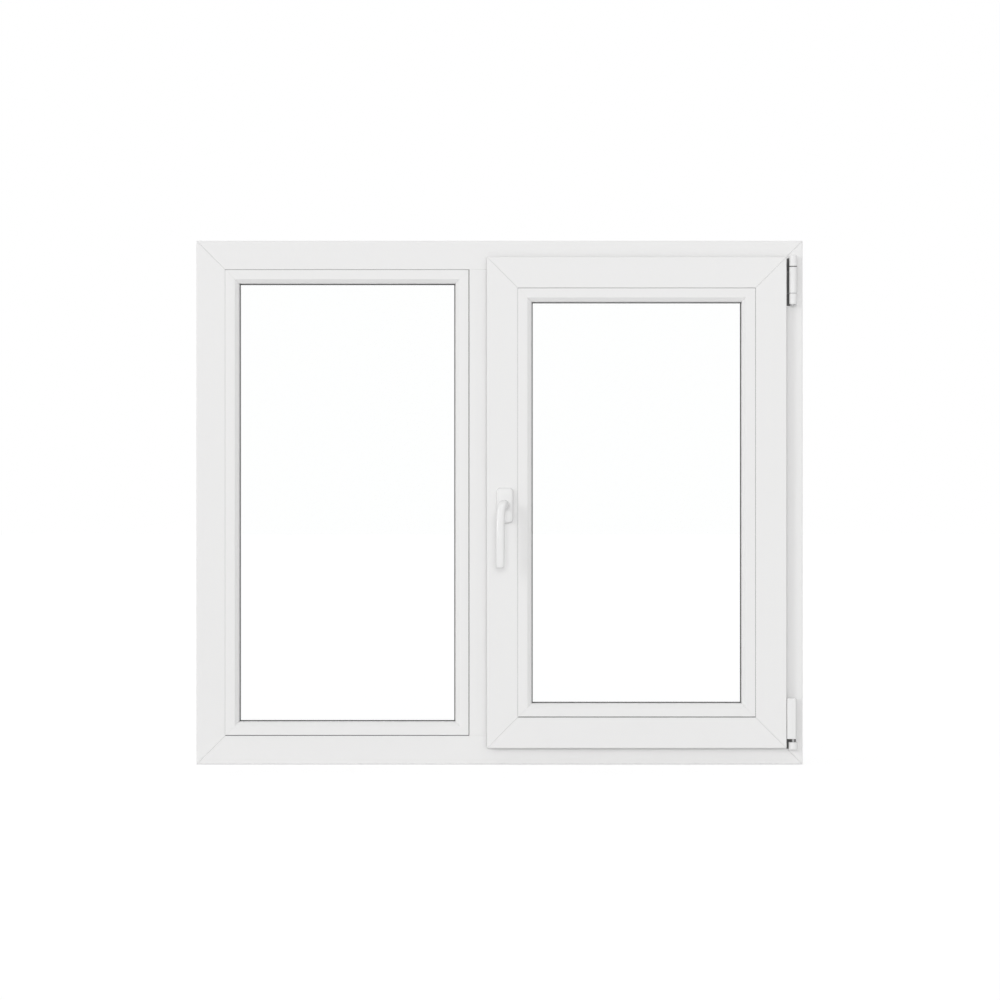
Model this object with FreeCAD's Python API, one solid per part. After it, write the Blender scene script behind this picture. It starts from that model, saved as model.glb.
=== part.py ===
import FreeCAD, Part
import math
import os

# A white plastic window: a fixed light on the left of a mullion and a tilt and turn sash on the right.
# X runs to the right, Y from the room to the outside, Z up, all in millimetres.
# The origin is on the underside of the sill, at mid width and mid depth.

# Outer frame
frame_width = 1100.0
frame_height = 950.0
frame_depth = 70.0
frame_face = 52.0
lip_height = 22.0
lip_depth = 15.0
lip_slope = 7.0
lip_round = 1.5
room_side = -frame_depth / 2
outside = frame_depth / 2
lip_back = outside - lip_depth
edge_round = 2.0

# Mullion
mullion_face = 54.0
mullion_x = -28.0

# Sash
sash_face = 56.0
sash_overlap = 22.0
sash_air = 12.0
flange_gap = 5.0
stop_gap = 5.0
flange_depth = 13.0
flange_round = 1.5
sash_round = 3.0
sash_lip_depth = 13.0
flange_back = room_side - flange_gap
sash_front = flange_back - flange_depth
sash_back = lip_back - stop_gap
sash_body = sash_overlap + sash_air
groove_width = 16.0
groove_depth = 10.0
groove_set_back = 13.0
groove_middle = flange_back + groove_set_back
flange = frame_face - sash_overlap

# Corner cuts reach this far outside and inside the edge of each ring
mitre_out = 20.0
mitre_in = 100.0
cut_reach = 3 * frame_depth

# Glazing: two panes, an air space, a bead inside and a lip outside
pane = 4.0
air_space = 16.0
unit_depth = 2 * pane + air_space
glass_edge = 5.0
seal = 3.0
bead_flat = 17.5
bead_width = 25.6
bead_slope = 5.0
bead_lean = 0.8
bead_recess = 0.6
bead_edge_round = 1.0
bead_front_round = 2.5
bead_inner_round = 1.5
bead_foot = 3.6
foot_thick = 2.8
foot_set_back = 4.3
foot_clearance = 0.3
seal_hold = 10.0
seal_show = 1.6
seal_step = 1.2
outer_seal_show = 1.4
outer_seal_lean = 1.8
spacer_width = 11.0
spacer_set_back = 1.0

# Seals that the closed sash meets: one on the frame's lip, one behind the sash flange
seal_touch = 0.4
stop_seal_in = 2.0
stop_seal_width = 6.0
stop_seal_tip = 3.0
stop_seal_round = 1.2
stop_seal_low = 2.4
stop_seal_high = 2.0
overlap_seal_in = 3.0
overlap_seal_width = 6.0
overlap_tip_in = 5.0
overlap_tip_width = 1.5
overlap_tip_round = 0.5

# Hinge line and pivots
hinge_inset = 18.0
hinge_proud = 13.0
hinge_x = frame_width / 2 - hinge_inset
hinge_y = room_side - hinge_proud
barrel_radius = 7.0
pin_radius = 3.0
running_gap = 0.05
knuckle_gap = 0.5
tilt_z = 34.5
cross_radius = 2.8
cross_length = 7.6

# Top hinge
top_knuckle_drop = 47.0
top_knuckle_height = 48.5
top_knuckle_high = frame_height - top_knuckle_drop
top_knuckle_low = top_knuckle_high - top_knuckle_height
lug_height = 20.0
lug_round = 2.0
web_width = 10.0
pin_head_radius = 4.4
pin_head = 1.6

# Stay arm, its reach a share of the way from the hinge line to the lock edge of the sash
arm_share = 0.768
arm_width = 14.0
arm_thick = 3.0
arm_head_gap = 4.5
arm_high = frame_height - frame_face - arm_head_gap
arm_low = arm_high - arm_thick
arm_side_gap = 4.0
arm_set_back = 1.0
arm_pin_radius = 3.0
arm_pin_drop = 17.5
pocket_before = 12.0
pocket_after = 40.0
pocket_floor = 3.0
strap_thick = 2.5
strap_side_gap = 3.0
strap_band = 5.0
strap_lap = 5.0
strap_room_below = 4.0
strap_room_above = 8.0
shoulder_length = 22.0

# Bottom hinge
bearing_low = 28.0
bearing_high = 41.0
bearing_radius = 8.0
bearing_floor = 1.5
cup_radius = 5.5
cup_mouth = 4.6
sash_knuckle_low = 45.0
sash_knuckle_high = 121.0
sash_knuckle_radius = 7.5
cross_neck_radius = 2.1
leaf_front = 2.5
leaf_back = 4.0
knuckle_lap = 1.0

# Handle, its lever cranked to the side of the neck
handle_x_in = 32.5
handle_drop = 5.0
handle_z = frame_height / 2 - handle_drop
rosette_width = 31.0
rosette_height = 64.0
rosette_thick = 11.0
rosette_corner = 8.0
rosette_rim = 2.5
neck_radius = 7.5
neck_length = 36.0
neck_seat = 8.0
lever_offset = 8.2
lever_width = 15.5
lever_thick = 12.0
lever_length = 113.0
lever_top = 10.5
elbow_down = 8.5
elbow_round = 6.0
elbow_inner = 4.0
elbow_corner = 3.5
lever_end_round = 5.0
lever_round = 3.0

# Locking rail in the edge of the sash
plate_thick = 2.5
rail_thick = 3.0
rail_width = 12.0
rail_behind = 0.7
cam_radius = 4.0
cam_reach = 3.5
cam_travel = 36.0
cam_slot_side = 0.6
cam_inset = 95.0
cam_count = 3
rail_end = 25.0
plate_inset = 12.0
bottom_plate_share = 0.4
plate_stop = 1.0
keep_thick = 3.0
keep_length = 80.0
keep_width = 18.0

# Drainage caps on the outside
cap_width = 42.0
cap_height = 12.0
cap_proud = 5.0
cap_bevel = 3.0
cap_round = 1.0
cap_z = 20.0
cap_count = 3
cap_end = 150.0


def vector(x, y, z):
    return FreeCAD.Vector(x, y, z)


def box(x0, x1, y0, y1, z0, z1):
    return Part.makeBox(x1 - x0, y1 - y0, z1 - z0, vector(x0, y0, z0))


def upright(radius, x, y, z0, z1):
    return Part.makeCylinder(radius, z1 - z0, vector(x, y, z0), vector(0, 0, 1))


def softened(shape, level, radius):
    """The shape with the edges that lie at one height rounded."""
    edges = [e for e in shape.Edges if all(abs(v.Z - level) < 0.01 for v in e.Vertexes)]
    flat = [e for e in edges if e.BoundBox.ZLength < 0.01]
    return shape.makeFillet(radius, flat)


def outline(points, place):
    """A closed face through (u, y) points, where a third number rounds that corner."""
    count = len(points)
    starts = []
    edges = []
    for i in range(count):
        here = points[i]
        before = points[i - 1]
        after = points[(i + 1) % count]
        if len(here) < 3:
            starts.append((here[:2], None, here[:2]))
            continue
        ax, ay = before[0] - here[0], before[1] - here[1]
        bx, by = after[0] - here[0], after[1] - here[1]
        la, lb = math.hypot(ax, ay), math.hypot(bx, by)
        ax, ay, bx, by = ax / la, ay / la, bx / lb, by / lb
        half = math.acos(max(-1.0, min(1.0, ax * bx + ay * by))) / 2
        cut = here[2] / math.tan(half)
        mx, my = ax + bx, ay + by
        length = math.hypot(mx, my)
        near = here[2] / math.sin(half) - here[2]
        first = (here[0] + ax * cut, here[1] + ay * cut)
        last = (here[0] + bx * cut, here[1] + by * cut)
        middle = (here[0] + mx / length * near, here[1] + my / length * near)
        starts.append((first, middle, last))
    for i in range(count):
        first, middle, last = starts[i]
        if middle:
            edges.append(Part.Arc(place(*first), place(*middle), place(*last)).toShape())
        follow = starts[(i + 1) % count][0]
        if math.dist(last, follow) > 1e-6:
            edges.append(Part.makeLine(place(*last), place(*follow)))
    return Part.Face(Part.Wire(Part.__sortEdges__(edges)))


def mitred(opening, points, side):
    """One side of a ring around an opening, u measured inward from the ring's edge, cut at 45 degrees."""
    x0, z0, x1, z1 = opening
    out, inward = mitre_out, mitre_in
    places = {
        "bottom": lambda u, y: vector(x0 - out, y, z0 + u),
        "top": lambda u, y: vector(x0 - out, y, z1 - u),
        "left": lambda u, y: vector(x0 + u, y, z0 - out),
        "right": lambda u, y: vector(x1 - u, y, z0 - out),
    }
    along = vector(x1 - x0 + 2 * out, 0, 0)
    if side in ("left", "right"):
        along = vector(0, 0, z1 - z0 + 2 * out)
    bar = outline(points, places[side]).extrude(along)
    outer = [(x0 - out, z0 - out), (x1 + out, z0 - out), (x1 + out, z1 + out), (x0 - out, z1 + out)]
    inner = [
        (x0 + inward, z0 + inward),
        (x1 - inward, z0 + inward),
        (x1 - inward, z1 - inward),
        (x0 + inward, z1 - inward),
    ]
    first = {"bottom": 0, "right": 1, "top": 2, "left": 3}[side]
    second = (first + 1) % 4
    corners = [outer[first], outer[second], inner[second], inner[first]]
    wedge = outline(corners, lambda x, z: vector(x, -cut_reach, z)).extrude(vector(0, 2 * cut_reach, 0))
    return bar.common(wedge)


def ring(opening, points):
    sides = [mitred(opening, points, side) for side in ("bottom", "right", "top", "left")]
    whole = sides[0].fuse(sides[1:])
    return whole.removeSplitter()


def save(name, shape):
    solids = shape.Solids
    kept = solids[0] if len(solids) == 1 else Part.makeCompound(solids)
    kept.exportStep("parts/" + name + ".step")


def glazing(opening, face_y, glass_back, prefix):
    """The panes, spacer, beads and seals of one light, for a glazing rebate given by its base."""
    glass_front = glass_back - unit_depth
    bead_back = glass_front - seal
    bead_front = face_y + bead_recess
    foot_y = face_y + foot_set_back
    bead = [
        (0, bead_back),
        (0, foot_y + foot_thick),
        (-bead_foot, foot_y + foot_thick),
        (-bead_foot, foot_y),
        (0, foot_y),
        (0, bead_front, bead_edge_round),
        (bead_flat, bead_front, bead_front_round),
        (bead_width - bead_lean, bead_front + bead_slope, bead_inner_round),
        (bead_width, bead_back),
    ]
    for side in ("bottom", "right", "top", "left"):
        save(prefix + "_bead_" + side, mitred(opening, bead, side))
    inner_seal = [
        (bead_width - seal_hold, bead_back),
        (bead_width, bead_back),
        (bead_width + seal_show, bead_back + seal_step),
        (bead_width + seal_show, glass_front),
        (bead_width - seal_hold, glass_front),
    ]
    save(prefix + "_inner_seal", ring(opening, inner_seal))
    outer_seal = [
        (lip_height - seal_hold, glass_back),
        (lip_height + outer_seal_show, glass_back),
        (lip_height + outer_seal_show, glass_back + seal_step),
        (lip_height + outer_seal_show - outer_seal_lean, glass_back + seal),
        (lip_height - seal_hold, glass_back + seal),
    ]
    save(prefix + "_outer_seal", ring(opening, outer_seal))
    x0, z0, x1, z1 = opening
    gx0, gx1, gz0, gz1 = x0 + glass_edge, x1 - glass_edge, z0 + glass_edge, z1 - glass_edge
    save(prefix + "_inner_pane", box(gx0, gx1, glass_front, glass_front + pane, gz0, gz1))
    save(prefix + "_outer_pane", box(gx0, gx1, glass_back - pane, glass_back, gz0, gz1))
    spacer = [
        (glass_edge + spacer_set_back, glass_front + pane),
        (glass_edge + spacer_width, glass_front + pane),
        (glass_edge + spacer_width, glass_back - pane),
        (glass_edge + spacer_set_back, glass_back - pane),
    ]
    save(prefix + "_spacer", ring(opening, spacer))


os.makedirs("parts", exist_ok=True)

left, right = -frame_width / 2, frame_width / 2
outer = (left, 0.0, right, frame_height)
fixed_opening = (left + frame_face, frame_face, mullion_x - mullion_face / 2, frame_height - frame_face)
sash_opening = (mullion_x + mullion_face / 2, frame_face, right - frame_face, frame_height - frame_face)
groove_front = room_side + foot_set_back - foot_clearance
groove_back = groove_front + foot_thick + 2 * foot_clearance
groove_base = bead_foot + foot_clearance

# Frame members, welded at the corners
frame_profile = [
    (0, room_side, edge_round),
    (frame_face, room_side, edge_round),
    (frame_face, groove_front),
    (frame_face - groove_base, groove_front),
    (frame_face - groove_base, groove_back),
    (frame_face, groove_back),
    (frame_face, lip_back),
    (frame_face + lip_height, lip_back),
    (frame_face + lip_height, outside - lip_slope, lip_round),
    (frame_face + lip_height - lip_slope, outside, lip_round),
    (0, outside, edge_round),
]
sill = mitred(outer, frame_profile, "bottom")
head = mitred(outer, frame_profile, "top")
save("frame_sill", sill)
save("frame_head", head)
save("frame_left_jamb", mitred(outer, frame_profile, "left"))
save("frame_right_jamb", mitred(outer, frame_profile, "right"))

# Mullion, its ends cut to the shape of the sill and the head
half = mullion_face / 2
mullion_half = [
    (half, room_side, edge_round),
    (half, groove_front),
    (half - groove_base, groove_front),
    (half - groove_base, groove_back),
    (half, groove_back),
    (half, lip_back),
    (half + lip_height, lip_back),
    (half + lip_height, outside - lip_slope, lip_round),
    (half + lip_height - lip_slope, outside, lip_round),
]
mirrored = [(-p[0],) + p[1:] for p in reversed(mullion_half)]
mullion = outline(mullion_half + mirrored, lambda u, y: vector(mullion_x + u, y, frame_face))
mullion = mullion.extrude(vector(0, 0, frame_height - 2 * frame_face)).cut([sill, head])
save("mullion", mullion)

glazing(fixed_opening, room_side, lip_back - seal, "fixed")

# Seal on the frame's lip, which the back of the closed sash meets
stop_seal_out = lip_height - stop_seal_in
sash_stop = [
    (stop_seal_out - stop_seal_width, lip_back),
    (stop_seal_out - stop_seal_width, sash_back + stop_seal_low),
    (stop_seal_out - stop_seal_tip, sash_back + seal_touch, stop_seal_round),
    (stop_seal_out, sash_back + stop_seal_high),
    (stop_seal_out, lip_back),
]
save("sash_stop_seal", ring(sash_opening, sash_stop))

# Sash members
sash_left = sash_opening[0] - sash_overlap
sash_outer = (sash_left, flange, right - flange, frame_height - flange)
sash_groove_front = sash_front + foot_set_back - foot_clearance
sash_groove_back = sash_groove_front + foot_thick + 2 * foot_clearance
sash_lip = sash_back - sash_lip_depth
hardware_front = groove_middle - groove_width / 2
hardware_back = groove_middle + groove_width / 2
sash_profile = [
    (0, flange_back, flange_round),
    (0, sash_front, sash_round),
    (sash_face, sash_front, edge_round),
    (sash_face, sash_groove_front),
    (sash_face - groove_base, sash_groove_front),
    (sash_face - groove_base, sash_groove_back),
    (sash_face, sash_groove_back),
    (sash_face, sash_lip),
    (sash_face + lip_height, sash_lip),
    (sash_face + lip_height, sash_back - lip_slope, lip_round),
    (sash_face + lip_height - lip_slope, sash_back, lip_round),
    (sash_body, sash_back, edge_round),
    (sash_body, hardware_back),
    (sash_body + groove_depth, hardware_back),
    (sash_body + groove_depth, hardware_front),
    (sash_body, hardware_front),
    (sash_body, flange_back),
]
top_rail = mitred(sash_outer, sash_profile, "top")
body_top = sash_outer[3] - sash_body
# The stay arm's pin runs in a deeper pocket of the top rail
edge_x = sash_outer[0] + sash_body
arm_pin_x = hinge_x - arm_share * (hinge_x - edge_x)
arm_pin_low = arm_low - arm_pin_drop
pocket = box(
    arm_pin_x - pocket_before,
    arm_pin_x + pocket_after,
    hardware_front,
    hardware_back,
    arm_pin_low - pocket_floor,
    body_top,
)
save("sash_top_rail", top_rail.cut(pocket))
save("sash_bottom_rail", mitred(sash_outer, sash_profile, "bottom"))
save("sash_lock_stile", mitred(sash_outer, sash_profile, "left"))
save("sash_hinge_stile", mitred(sash_outer, sash_profile, "right"))
sash_glazed = (
    sash_outer[0] + sash_face,
    sash_outer[1] + sash_face,
    sash_outer[2] - sash_face,
    sash_outer[3] - sash_face,
)
glazing(sash_glazed, sash_front, sash_lip - seal, "sash")

# Seal round the back of the sash flange, let through where the stay strap passes
strap_back = room_side - (flange_gap - strap_thick) / 2
strap_front = strap_back - strap_thick
overlap_seal = [
    (overlap_seal_in, flange_back),
    (overlap_seal_in + overlap_seal_width, flange_back),
    (overlap_tip_in + overlap_tip_width, room_side - seal_touch, overlap_tip_round),
    (overlap_tip_in, room_side - seal_touch, overlap_tip_round),
]
strap_inner_x = sash_outer[2] - sash_body + strap_side_gap
way_low, way_high = top_knuckle_low - strap_room_below, arm_low + strap_room_above
strap_way = box(strap_inner_x, right, flange_back - 1, room_side + 1, way_low, way_high)
save("sash_overlap_seal", ring(sash_outer, overlap_seal).cut(strap_way))

# Top hinge: a bracket with two lugs on the frame, and the pin
lower_lug_low = top_knuckle_low - knuckle_gap - lug_height
lower_lug_high = top_knuckle_low - knuckle_gap
upper_lug_low = top_knuckle_high + knuckle_gap
upper_lug_high = upper_lug_low + lug_height
lugs = []
for low, high, end in (
    (lower_lug_low, lower_lug_high, lower_lug_low),
    (upper_lug_low, upper_lug_high, upper_lug_high),
):
    barrel = softened(upright(barrel_radius, hinge_x, hinge_y, low, high), end, lug_round)
    web = box(hinge_x - web_width / 2, hinge_x + web_width / 2, hinge_y, room_side, low, high)
    bore = upright(pin_radius + running_gap, hinge_x, hinge_y, low - 1, high + 1)
    lugs.append(barrel.fuse(web).cut(bore))
save("top_hinge_bracket", Part.makeCompound(lugs))
pin = upright(pin_radius, hinge_x, hinge_y, lower_lug_low - pin_head, upper_lug_high - 1)
head_low = lower_lug_low - knuckle_gap / 5 - pin_head
pin = pin.fuse(upright(pin_head_radius, hinge_x, hinge_y, head_low, head_low + pin_head))
save("top_hinge_pin", pin)

# Stay arm: a knuckle on the pin, a strap through the flange gap, and an arm over the sash with a pin
knuckle = upright(barrel_radius, hinge_x, hinge_y, top_knuckle_low, top_knuckle_high)
web = box(hinge_x - web_width / 4, hinge_x + web_width / 4, hinge_y, strap_back, top_knuckle_low, arm_low)
strap = box(strap_inner_x, hinge_x + web_width / 4, strap_front, strap_back, top_knuckle_low, arm_high)
arm_end_x = right - frame_face - arm_side_gap
arm_line = groove_middle - arm_set_back
arm_back = arm_line + arm_width / 2
shoulder_x = arm_end_x - shoulder_length
band = box(shoulder_x, strap_inner_x + strap_lap, strap_front, strap_back, arm_high - strap_band, arm_high)
shoulder = box(shoulder_x, arm_end_x, strap_front, arm_back, arm_low, arm_high)
arm = box(arm_pin_x, arm_end_x, arm_line - arm_width / 2, arm_back, arm_low, arm_high)
arm_tip = upright(arm_width / 2, arm_pin_x, arm_line, arm_low, arm_high)
arm_pin = upright(arm_pin_radius, arm_pin_x, groove_middle, arm_pin_low, arm_high)
stay = knuckle.fuse([web, strap, band, shoulder, arm, arm_tip, arm_pin])
stay = stay.cut(
    upright(pin_radius + running_gap, hinge_x, hinge_y, top_knuckle_low - 1, top_knuckle_high + 1)
)
save("stay_arm", stay)

# Bottom hinge: a bearing on the frame, a cup turning in it, and the sash knuckle with a cross pin in the cup
bearing = upright(bearing_radius, hinge_x, hinge_y, bearing_low, bearing_high)
bearing_side = bearing_radius
bearing = bearing.fuse(
    box(hinge_x - bearing_side, hinge_x + bearing_side, hinge_y, room_side, bearing_low, bearing_high)
)
bore_low = bearing_low + bearing_floor
bearing = bearing.cut(upright(cup_radius + running_gap, hinge_x, hinge_y, bore_low, bearing_high + 1))
save("bottom_hinge_bearing", bearing)
cup = upright(cup_radius, hinge_x, hinge_y, bore_low + running_gap, bearing_high)
seat_radius, seat_half = cross_radius + running_gap, cross_length / 2 + running_gap
to_right = vector(1, 0, 0)
seat = Part.makeCylinder(seat_radius, 2 * seat_half, vector(hinge_x - seat_half, hinge_y, tilt_z), to_right)
throat = box(
    hinge_x - seat_half,
    hinge_x + seat_half,
    hinge_y - seat_radius,
    hinge_y + seat_radius,
    tilt_z,
    bearing_high + 1,
)
mouth = upright(cup_mouth, hinge_x, hinge_y, tilt_z + cross_radius, bearing_high + 1)
save("bottom_hinge_cup", cup.cut([seat, throat, mouth]))
knuckle = upright(sash_knuckle_radius, hinge_x, hinge_y, sash_knuckle_low, sash_knuckle_high)
knuckle = softened(knuckle, sash_knuckle_high, lug_round)
leaf_high = sash_knuckle_high - lug_round
leaf = box(sash_outer[2], hinge_x, hinge_y - leaf_front, hinge_y + leaf_back, sash_knuckle_low, leaf_high)
cross_start = vector(hinge_x - cross_length / 2, hinge_y, tilt_z)
cross_pin = Part.makeCylinder(cross_radius, cross_length, cross_start, to_right)
cross_neck = upright(cross_neck_radius, hinge_x, hinge_y, tilt_z, sash_knuckle_low + knuckle_lap)
save("sash_hinge_knuckle", knuckle.fuse([leaf, cross_pin, cross_neck]))

# Handle
handle_x = sash_outer[0] + handle_x_in
rosette = box(
    handle_x - rosette_width / 2,
    handle_x + rosette_width / 2,
    sash_front - rosette_thick,
    sash_front,
    handle_z - rosette_height / 2,
    handle_z + rosette_height / 2,
)
corners = [e for e in rosette.Edges if abs(e.Vertexes[0].Y - e.Vertexes[-1].Y) > 1]
rosette = rosette.makeFillet(rosette_corner, corners)
front_y = sash_front - rosette_thick
rim = [e for e in rosette.Edges if all(abs(v.Y - front_y) < 0.01 for v in e.Vertexes)]
rosette = rosette.makeFillet(rosette_rim, rim)
into_room = vector(0, -1, 0)
neck_start = front_y + neck_seat
rosette_bore = Part.makeCylinder(
    neck_radius + running_gap, neck_seat + 2, vector(handle_x, neck_start, handle_z), into_room
)
save("handle_rosette", rosette.cut(rosette_bore))
neck_total = neck_seat + neck_length
neck = Part.makeCylinder(
    neck_radius, neck_total, vector(handle_x, neck_start - running_gap, handle_z), into_room
)
lever_back = front_y - neck_length + lever_thick / 2
lever_x = handle_x - lever_offset
lever_front = lever_back - lever_thick
lever_left, lever_right = lever_x - lever_width / 2, lever_x + lever_width / 2
elbow_right = handle_x + neck_radius
lever_outline = [
    (lever_left, handle_z - lever_length, lever_end_round),
    (lever_right, handle_z - lever_length, lever_end_round),
    (lever_right, handle_z - elbow_down, elbow_inner),
    (elbow_right, handle_z - elbow_down, elbow_corner),
    (elbow_right, handle_z + lever_top, elbow_round),
    (lever_left, handle_z + lever_top, elbow_round),
]
lever = outline(lever_outline, lambda x, z: vector(x, lever_back, z)).extrude(vector(0, -lever_thick, 0))
lever_rim = [e for e in lever.Edges if e.BoundBox.YLength < 0.01]
lever = lever.makeFillet(lever_round, lever_rim)
save("handle_lever", neck.fuse(lever))

# Locking rail: a faceplate in the lock stile's groove with a slot for each cam
groove_low, groove_high = sash_outer[1] + sash_body, body_top
cam_low, cam_high = groove_low + cam_inset, groove_high - cam_inset - cam_travel
cam_step = (cam_high - cam_low) / (cam_count - 1)
cams = [cam_low + cam_step * i for i in range(cam_count)]
plate_x = edge_x + plate_thick
plate_low, plate_high = groove_low + plate_inset, groove_high - plate_inset
plate = box(edge_x, plate_x, hardware_front, hardware_back, plate_low, plate_high)
slot_half = cam_radius + cam_slot_side
slots = []
for z in cams:
    slots.append(
        box(
            edge_x - 1,
            edge_x + plate_thick + 1,
            groove_middle - slot_half,
            groove_middle + slot_half,
            z - slot_half,
            z + cam_travel + slot_half,
        )
    )
short_x = edge_x + plate_inset
bottom_x = edge_x + bottom_plate_share * (hinge_x - edge_x)
bottom_plate = box(short_x, bottom_x, hardware_front, hardware_back, groove_low, groove_low + plate_thick)
top_x = arm_pin_x - pocket_before - plate_stop
top_plate = box(short_x, top_x, hardware_front, hardware_back, groove_high - plate_thick, groove_high)
save("sash_faceplates", Part.makeCompound([plate.cut(slots), bottom_plate, top_plate]))
rail_x = edge_x + plate_thick + rail_behind
rail = box(
    rail_x,
    rail_x + rail_thick,
    groove_middle - rail_width / 2,
    groove_middle + rail_width / 2,
    cam_low - rail_end,
    cam_high + rail_end,
)
pins = []
for z in cams:
    start = vector(edge_x - cam_reach, groove_middle, z)
    pins.append(Part.makeCylinder(cam_radius, rail_x + 1 - start.x, start, vector(1, 0, 0)))
save("locking_rail", rail.fuse(pins))
keeps = []
for z in cams:
    low = z + cam_travel / 2 - keep_length / 2
    keep = box(
        sash_opening[0],
        sash_opening[0] + keep_thick,
        groove_middle - keep_width / 2,
        groove_middle + keep_width / 2,
        low,
        low + keep_length,
    )
    keeps.append(keep)
save("lock_keeps", Part.makeCompound(keeps))

# Drainage caps
caps = []
cap_step = (frame_width - 2 * cap_end) / (cap_count - 1)
for i in range(cap_count):
    x = left + cap_end + cap_step * i
    cap_outline = [
        (cap_z - cap_height / 2, outside),
        (cap_z - cap_height / 2, outside + cap_proud, cap_round),
        (cap_z + cap_height / 2 - cap_bevel, outside + cap_proud, cap_round),
        (cap_z + cap_height / 2, outside),
    ]
    cap = outline(cap_outline, lambda z, y: vector(x - cap_width / 2, y, z))
    caps.append(cap.extrude(vector(cap_width, 0, 0)))
save("drain_caps", Part.makeCompound(caps))
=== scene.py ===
import math

import bmesh
import bpy
from mathutils import Matrix, Vector


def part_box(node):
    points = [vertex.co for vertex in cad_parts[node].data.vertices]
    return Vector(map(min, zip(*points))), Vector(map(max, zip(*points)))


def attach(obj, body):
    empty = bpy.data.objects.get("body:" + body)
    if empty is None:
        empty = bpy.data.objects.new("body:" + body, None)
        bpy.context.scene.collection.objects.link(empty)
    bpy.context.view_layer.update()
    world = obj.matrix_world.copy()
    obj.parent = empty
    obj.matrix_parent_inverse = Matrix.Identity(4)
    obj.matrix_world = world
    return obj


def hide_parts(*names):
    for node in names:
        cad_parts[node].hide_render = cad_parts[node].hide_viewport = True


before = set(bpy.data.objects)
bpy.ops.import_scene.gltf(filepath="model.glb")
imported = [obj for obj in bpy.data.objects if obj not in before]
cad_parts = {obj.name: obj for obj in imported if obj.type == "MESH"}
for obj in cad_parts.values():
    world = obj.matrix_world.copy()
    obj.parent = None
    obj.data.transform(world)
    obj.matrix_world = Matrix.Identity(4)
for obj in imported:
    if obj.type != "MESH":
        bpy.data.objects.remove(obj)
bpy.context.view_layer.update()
print("frame loaded")

mm = 0.001  # sizes below are in millimetres, meshes in metres
scene = bpy.context.scene


class Flow:
    # a socket that takes part in plain arithmetic
    def __init__(self, graph, socket):
        self.graph = graph
        self.socket = socket

    def count(self, operation, *values):
        return self.graph.node("ShaderNodeMath", {"operation": operation}, values)

    def __add__(self, other): return self.count("ADD", self, other)
    def __radd__(self, other): return self.count("ADD", other, self)
    def __sub__(self, other): return self.count("SUBTRACT", self, other)
    def __rsub__(self, other): return self.count("SUBTRACT", other, self)
    def __mul__(self, other): return self.count("MULTIPLY", self, other)
    def __rmul__(self, other): return self.count("MULTIPLY", other, self)
    def __truediv__(self, other): return self.count("DIVIDE", self, other)
    def __rtruediv__(self, other): return self.count("DIVIDE", other, self)


class Graph:
    # any node tree; node() adds one node, with its settings first and then its values or links
    def __init__(self, tree):
        self.tree = tree

    def node(self, kind, settings=None, values=(), out=0):
        made = self.tree.nodes.new(kind)
        for key, value in (settings or {}).items():
            setattr(made, key, value)
        pairs = values.items() if isinstance(values, dict) else enumerate(values)
        for key, value in pairs:
            if isinstance(value, Flow):
                self.tree.links.new(value.socket, made.inputs[key])
            else:
                made.inputs[key].default_value = value
        return Flow(self, made.outputs[out])


class Finish(Graph):
    # one material
    def __init__(self, name):
        self.material = bpy.data.materials.new(name)
        self.material.use_nodes = True
        super().__init__(self.material.node_tree)
        self.tree.nodes.clear()
        self.end = self.tree.nodes.new("ShaderNodeOutputMaterial")

    def noise(self, scale, detail=2.0, stretch=(1, 1, 1), roughness=0.5):
        here = self.node("ShaderNodeTexCoord", out="Object")
        place = self.node("ShaderNodeMapping", None, {"Vector": here, "Scale": stretch})
        values = {"Vector": place, "Scale": scale, "Detail": detail, "Roughness": roughness}
        return self.node("ShaderNodeTexNoise", None, values)

    def mix(self, factor, first, second):
        values = {0: factor, 6: first, 7: second}
        return self.node("ShaderNodeMix", {"data_type": "RGBA"}, values, 2)

    def bump(self, height, strength, distance):
        values = {"Height": height, "Strength": strength, "Distance": distance}
        return self.node("ShaderNodeBump", None, values)

    def close(self, surface):
        self.tree.links.new(surface.socket, self.end.inputs["Surface"])
        return self.material


class Shape(Graph):
    # one geometry node tree with named inputs, ending in real geometry with its material
    def __init__(self, name, inputs):
        super().__init__(bpy.data.node_groups.new(name, "GeometryNodeTree"))
        sockets = self.tree.interface
        sockets.new_socket(name="Geometry", in_out="OUTPUT", socket_type="NodeSocketGeometry")
        self.keys = {}
        for label, kind, value in inputs + [("Finish", "Material", None)]:
            socket = sockets.new_socket(name=label, in_out="INPUT", socket_type="NodeSocket" + kind)
            if value is not None:
                socket.default_value = value
            self.keys[label] = socket.identifier
        self.start = self.tree.nodes.new("NodeGroupInput")
        self.end = self.tree.nodes.new("NodeGroupOutput")

    def given(self, label):
        return Flow(self, self.start.outputs[label])

    def close(self, geometry):
        solid = self.node("GeometryNodeRealizeInstances", None, [geometry])
        values = {"Geometry": solid, "Material": self.given("Finish")}
        done = self.node("GeometryNodeSetMaterial", None, values)
        self.tree.links.new(done.socket, self.end.inputs["Geometry"])
        return self


def grey(level, warmth=0.0):
    return (level * (1 + warmth), level, level * (1 - warmth), 1)


# finishes

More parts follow.
